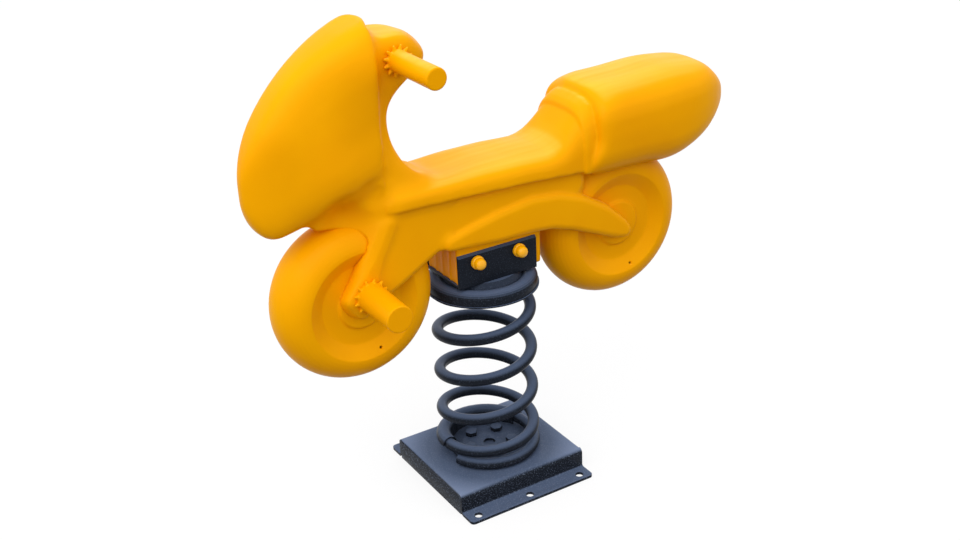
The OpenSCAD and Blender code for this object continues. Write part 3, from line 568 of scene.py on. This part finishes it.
# Painted sheen: faces that point up are mixed towards pale blue-grey #5D6C88, a painted reflection of the sky
# and a painted highlight along the top of the wire.
facing = add(tree, "ShaderNodeSeparateXYZ", {0: add(tree, "ShaderNodeNewGeometry").outputs["Normal"]})
faces_up_sheen = add(tree, "ShaderNodeMapRange", {"Value": facing.outputs["Z"], "From Min": 0.3, "From Max": 1,
                                           "To Min": 0, "To Max": 0.7}, interpolation_type="SMOOTHSTEP")
film_with_sheen = add(tree, "ShaderNodeMix", {0: faces_up_sheen.outputs["Result"], 6: film.outputs[2], 7: linear("#5D6C88")},
            data_type="RGBA")
height = add(tree, "ShaderNodeSeparateXYZ", {0: where})
on_top = add(tree, "ShaderNodeMapRange", {"Value": height.outputs["Z"], "From Min": 0.03, "From Max": 0.038,
                                          "To Min": 0, "To Max": faces_up_sheen.outputs["Result"]})
# Painted sheen on the pan's top, growing with distance from the spring's axis towards pale blue #8796B4, so
# the pan is left darker near the spring as painted shade.
level_place = add(tree, "ShaderNodeVectorMath", {0: where, 1: (1, 1, 0)}, operation="MULTIPLY")
from_axis = add(tree, "ShaderNodeVectorMath", {0: level_place.outputs[0]}, operation="LENGTH")
pan_corner_sheen = add(tree, "ShaderNodeMapRange", {"Value": from_axis.outputs["Value"], "From Min": 0.11,
                                         "From Max": 0.17, "To Min": 0, "To Max": on_top.outputs["Result"]})
with_corner_sheen = add(tree, "ShaderNodeMix", {0: pan_corner_sheen.outputs["Result"], 6: film_with_sheen.outputs[2], 7: linear("#8796B4")},
            data_type="RGBA")
print("material", powder.name)

# %% Powder-coated steel specks and surface
grit = add(tree, "ShaderNodeTexNoise", {"Vector": where, "Scale": 1 / SPECK, "Detail": 2, "Roughness": 0.7})
splashed = add(tree, "ShaderNodeMapRange", {"Value": height.outputs["Z"], "From Min": 0.06, "From Max": 0.035,
                                            "To Min": 0.12, "To Max": 0.5})
specks = add(tree, "ShaderNodeMapRange", {"Value": grit.outputs["Fac"], "From Min": 0.55, "From Max": 0.66,
                                          "To Min": 0, "To Max": splashed.outputs["Result"]})
tinted = add(tree, "ShaderNodeMix", {0: specks.outputs["Result"], 6: with_corner_sheen.outputs[2], 7: linear("#78849A")},
             data_type="RGBA")
tree.links.new(tinted.outputs[2], shader.inputs["Base Color"])
gloss = add(tree, "ShaderNodeMapRange", {"Value": blotch.outputs["Fac"], "From Min": 0.3, "From Max": 0.7,
                                         "To Min": 0.28, "To Max": 0.4})
tree.links.new(gloss.outputs["Result"], shader.inputs["Roughness"])
peel = add(tree, "ShaderNodeTexNoise", {"Vector": where, "Scale": 1 / PEEL, "Detail": 1})
bump = add(tree, "ShaderNodeBump", {"Height": peel.outputs["Fac"], "Strength": 0.2, "Distance": 0.3 * MM})
tree.links.new(bump.outputs["Normal"], shader.inputs["Normal"])
print("nodes in", powder.name, len(tree.nodes))

# %% [markdown]
# ## Coil spring
# One wire of 20 mm, wound five and a half turns to 180 mm across. It starts flat on the pan, climbs after its
# first turn, and lies flat again under the upper seat. A bevelled curve could follow that path, but a screw
# modifier keeps the wire round with few faces: it winds a circle level, and each ring is then raised to its
# height along the wire. The spring bends when the rider rocks, and it is made in two lengths, a lower and an
# upper one, that meet in the middle.

# %% Coil spring path
WIRE_R, COIL_R, START = 10 * MM, 80 * MM, math.radians(18)
TURNS, MIDDLE_Z = 5.5, 0.21
FIRST_Z_MM = 50.3
# Where the climb changes, in turns; by how many mm a turn; and over how many turns.
CLIMB = ((0.2, 35, 0.4), (1, 42, 0.73), (4.75, -73, 0.59))


def eased(turns, ramp):
    return 0 if turns <= 0 else turns ** 2 / (2 * ramp) if turns < ramp else turns - ramp / 2


def wire_height(turns):
    return (FIRST_Z_MM + sum(change * eased(turns - start, ramp) for start, change, ramp in CLIMB)) * MM


print("wire's middle height, first and last:", wire_height(0), wire_height(TURNS))

# %% Coil spring
WIRE_SIDES, RINGS_PER_TURN = 24, 72


def wound(name, first, last):
    angle = START + 2 * math.pi * first
    bpy.ops.object.select_all(action="DESELECT")
    bpy.ops.mesh.primitive_circle_add(vertices=WIRE_SIDES, radius=WIRE_R, rotation=(math.pi / 2, 0, angle),
                                      location=(COIL_R * math.cos(angle), COIL_R * math.sin(angle), 0))
    bpy.ops.object.transform_apply()
    piece = bpy.context.object
    piece.name = piece.data.name = name
    steps = round(RINGS_PER_TURN * (last - first))
    modify(piece, "SCREW", axis="Z", angle=2 * math.pi * (last - first), steps=steps, render_steps=steps)
    rings = len(piece.data.vertices) // WIRE_SIDES
    for vertex in piece.data.vertices:
        vertex.co.z += wire_height(first + (last - first) * (vertex.index // WIRE_SIDES) / (rings - 1))
    edit(piece)
    bpy.ops.mesh.select_all(action="SELECT")
    bpy.ops.mesh.fill_holes(sides=0)
    bpy.ops.mesh.normals_make_consistent(inside=False)
    done()
    shade(piece, 40)
    piece.data.materials.append(powder)
    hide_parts("coil_spring")
    print(piece.name, rings, "rings")
    return piece


low, high = 1, TURNS
while high - low > 1e-6:
    middle = (low + high) / 2
    low, high = (middle, high) if wire_height(middle) < MIDDLE_Z else (low, middle)
lower_coil, upper_coil = wound("lower_coil", 0, low), wound("upper_coil", low, TURNS)
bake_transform(lower_coil)
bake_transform(upper_coil)

# %% [markdown]
# ## Folded and cut steel
# The pan, the bracket and the clamps have the right shape in the CAD model, but most edges there are sharp.
# Modelling them again would only repeat it. Copies get their flat faces merged and their edges a small bevel,
# as the coat leaves them. First the pan's two end edges get a wide bevel, like its folds, and the corners of
# its flanges are rounded.

# %% Steel helpers
SHARP_ANGLE = 35


def flat_copy(node, name):
    piece = copy_of(node, name)
    edit(piece)
    bpy.ops.mesh.select_all(action="SELECT")
    bpy.ops.mesh.dissolve_limited(angle_limit=math.radians(1))
    done()
    return piece


def bevel_edges(piece, wanted, width):
    edit(piece, "EDGE")
    done()
    points = piece.data.vertices
    for e in piece.data.edges:
        e.select = wanted(points[e.vertices[0]].co, points[e.vertices[1]].co)
    print(piece.name, "edges to round:", sum(e.select for e in piece.data.edges))
    bpy.ops.object.mode_set(mode="EDIT")
    bpy.ops.mesh.bevel(offset=width, segments=5)
    done()


def soften(piece, width):
    modify(piece, "BEVEL", width=width, segments=3, limit_method="ANGLE",
           angle_limit=math.radians(SHARP_ANGLE))
    shade(piece, SHARP_ANGLE)
    return piece


def steel_piece(piece, body, *nodes):
    finish_piece(piece, body, powder, "powder_coated_steel", *nodes)


print("steel helpers ready")

# %% Pan
END_ROUND, CORNER_ROUND, NEAR = 4.5 * MM, 7 * MM, 0.1 * MM
half_length, half_width, pan_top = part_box("base_pan")[1]


def top_end_edge(a, b):
    return min(a.z, b.z) > pan_top - NEAR and abs(a.x + b.x) / 2 > half_length - NEAR


def flange_corner(a, b):
    upright = (a.xy - b.xy).length < NEAR
    return upright and abs(a.x) > half_length - NEAR and abs(a.y) > half_width - NEAR


pan = flat_copy("base_pan", "folded_pan")
bevel_edges(pan, top_end_edge, END_ROUND)
bevel_edges(pan, flange_corner, CORNER_ROUND)
steel_piece(soften(pan, 0.8 * MM), "base", "base_pan")

# %% Bracket and lower clamp
steel_piece(soften(flat_copy("saddle_bracket", "keel_bracket"), 1.6 * MM), "rider", "saddle_bracket")
steel_piece(soften(flat_copy("lower_clamp_plate", "round_clamp_plate"), 1 * MM), "base", "lower_clamp_plate")
steel_piece(soften(flat_copy("lower_clamp_bolts", "clamp_bolt_heads"), 1.4 * MM), "base", "lower_clamp_bolts")
clip = copy_of("lower_spring_clip", "rolled_clip")
modify(clip, "REMESH", mode="VOXEL", voxel_size=1.2 * MM)
modify(clip, "SMOOTH", factor=0.5, iterations=4)
shade(clip)
steel_piece(clip, "base", "lower_spring_clip")

# %% [markdown]
# ## Sleeves
# Each handle and footrest is a closed plastic sleeve with a flat end and a collar of short pointed teeth at
# its foot. One is built standing up: a circle is extruded ring by ring, cones are set round its foot, and a
# fine remesh joins them, with the soft roots that a moulded tooth has. It is then laid over to its side and
# moved to its place.

# %% Turned shapes
def turned(name, rings, sides=48):
    bpy.ops.object.select_all(action="DESELECT")
    bpy.ops.mesh.primitive_circle_add(vertices=sides, radius=rings[0][0], fill_type="NGON",
                                      location=(0, 0, rings[0][1]))
    bpy.ops.object.transform_apply()
    piece = bpy.context.object
    piece.name = piece.data.name = name
    edit(piece, "FACE")
    bpy.ops.mesh.select_all(action="SELECT")
    for (r0, h0), (r1, h1) in zip(rings, rings[1:]):
        bpy.ops.mesh.extrude_region_move(TRANSFORM_OT_translate={"value": (0, 0, h1 - h0)})
        bpy.ops.transform.resize(value=(r1 / r0, r1 / r0, 1), center_override=(0, 0, h1))
    bpy.ops.mesh.select_all(action="SELECT")
    bpy.ops.mesh.fill_holes(sides=0)
    bpy.ops.mesh.normals_make_consistent(inside=False)
    done()
    return piece


def lay_over(piece, side, x, z):
    piece.rotation_euler = (-side * math.pi / 2, 0, 0)
    piece.location = (x, 0, z)
    pick(piece)
    bpy.ops.object.transform_apply()
    return piece


print("turning helpers ready")

# %% Sleeve helper
TEETH, TOOTH_ROOT_R, TOOTH_TIP_R, TOOTH_LEAN = 12, 4.8 * MM, 1.8 * MM, math.radians(84)
TOOTH_SUNK, TOOTH_HEIGHT = 3 * MM, 4.6 * MM
TIP_EDGE = 1.6 * MM


def toothed_sleeve(name, radius, tip, foot, reach, tooth_reach):
    rings = [(radius, foot), (tip, reach - TIP_EDGE), (tip - 0.3 * TIP_EDGE, reach - 0.3 * TIP_EDGE),
             (tip - TIP_EDGE, reach)]
    parts = [turned(name, rings, sides=56)]
    middle = (radius - TOOTH_SUNK + tooth_reach) / 2
    for i in range(TEETH):
        a = 2 * math.pi * (i + 0.5) / TEETH
        bpy.ops.object.select_all(action="DESELECT")
        bpy.ops.mesh.primitive_cone_add(
            vertices=12, radius1=TOOTH_ROOT_R, radius2=TOOTH_TIP_R, depth=tooth_reach - radius + TOOTH_SUNK,
            rotation=(0, TOOTH_LEAN, a),
            location=(middle * math.cos(a), middle * math.sin(a), foot + TOOTH_HEIGHT))
        parts.append(bpy.context.object)
    piece = join(name, *parts)
    modify(piece, "REMESH", mode="VOXEL", voxel_size=1.1 * MM)
    modify(piece, "SMOOTH", factor=0.5, iterations=3)
    shade(piece)
    return piece


print("teeth on a sleeve:", TEETH)

# %% Sleeves
for node, radius, tip, foot, reach, tooth_reach, x, z in (
        ("handle", 17 * MM, 17 * MM, 0.0473, 0.166, 24.8 * MM, HANDLE_X, HANDLE_Z),
        ("footrest", 23.5 * MM, 22 * MM, 0.0633, 0.162, 29.8 * MM, FOOTREST_X, FOOTREST_Z)):
    for side, word in ((1, "left"), (-1, "right")):
        sleeve = toothed_sleeve(f"{word}_{node}_sleeve", radius, tip, foot, reach, tooth_reach)
        piece = lay_over(sleeve, side, x, z)
        finish_piece(piece, "rider", moulding, "yellow_moulding", f"{word}_{node}")

# %% [markdown]
# ## Bolt caps
# A snap-on cap covers each end of the two keel bolts: a round foot and a domed top, in a brighter, glossier
# yellow because they are injection moulded in a polished tool. They are round all over, so they are turned
# ring by ring like the sleeves.

# %% Cap plastic
SWIRL = 12 * MM
cap_plastic, tree, shader, where = start_material("injection_moulded_cap_yellow", IOR=1.5,
                                                  Specular_IOR_Level=0.4)
swirl = add(tree, "ShaderNodeTexNoise", {"Vector": where, "Scale": 1 / SWIRL, "Detail": 2})
tint = add(tree, "ShaderNodeMix", {0: swirl.outputs["Fac"], 6: linear("#F9AC00"), 7: linear("#FFB904")},
           data_type="RGBA")
tree.links.new(tint.outputs[2], shader.inputs["Base Color"])
gloss = add(tree, "ShaderNodeMapRange", {"Value": swirl.outputs["Fac"], "To Min": 0.22, "To Max": 0.3})
tree.links.new(gloss.outputs["Result"], shader.inputs["Roughness"])
print("material", cap_plastic.name)

# %% Bolt caps
FOOT_Y, DOME_Y, CAP_Z = 0.055, 0.061, 0.4305
FOOT_RINGS = [(11.4 * MM, FOOT_Y), (11.6 * MM, FOOT_Y + 3.5 * MM), (11.2 * MM, FOOT_Y + 5 * MM),
              (10 * MM, DOME_Y)]
DOME_RINGS = [(9.8 * MM, DOME_Y), (9.8 * MM, DOME_Y + 5.5 * MM), (9.2 * MM, DOME_Y + 8 * MM),
              (7.6 * MM, DOME_Y + 10.4 * MM), (5 * MM, DOME_Y + 12 * MM), (1.8 * MM, DOME_Y + 12.8 * MM)]
for name, rings, node in (("cap_feet", FOOT_RINGS, "bolt_cap_feet"),
                          ("cap_domes", DOME_RINGS, "bolt_cap_domes")):
    parts = [lay_over(turned(name, rings), side, x, CAP_Z) for x in (-0.040, 0.040) for side in (1, -1)]
    piece = join(name, *parts)
    shade(piece, 40)
    finish_piece(piece, "rider", cap_plastic, "yellow_cap", node)

# %% [markdown]
# ## Zinc-plated steel
# Nuts, spacers, through bolts and tubes are inside the rider or under the pan. They stay as the CAD model has
# them, in zinc-plated steel: a grey metal, slightly blue, with a soft cloudy spangle.

# %% Zinc-plated steel
SPANGLE = 8 * MM
zinc, tree, shader, where = start_material("zinc_plated_steel", Metallic=1)
spangle = add(tree, "ShaderNodeTexNoise", {"Vector": where, "Scale": 1 / SPANGLE, "Detail": 3})
tint = add(tree, "ShaderNodeMix", {0: spangle.outputs["Fac"], 6: linear("#9AA0A8"), 7: linear("#C3C8CE")},
           data_type="RGBA")
tree.links.new(tint.outputs[2], shader.inputs["Base Color"])
gloss = add(tree, "ShaderNodeMapRange", {"Value": spangle.outputs["Fac"], "To Min": 0.25, "To Max": 0.45})
tree.links.new(gloss.outputs["Result"], shader.inputs["Roughness"])
print("material", zinc.name)

# %% [markdown]
# ## Finishes of the CAD nodes
# Each node takes the finish that the record names for it, so that the ones that still show, such as the upper
# spring seat, match the new pieces.

# %% Finishes of the CAD nodes
finishes = {"yellow_moulding": moulding, "yellow_cap": cap_plastic, "powder_coated_steel": powder,
            "zinc_plated_steel": zinc}
for subpart in frame["record"]["subparts"]:
    node = frame["nodes"][subpart["node"]]
    node.data.materials.clear()
    node.data.materials.append(finishes[subpart["material_slot"]])
print("finishes set on", len(frame["nodes"]), "CAD nodes")
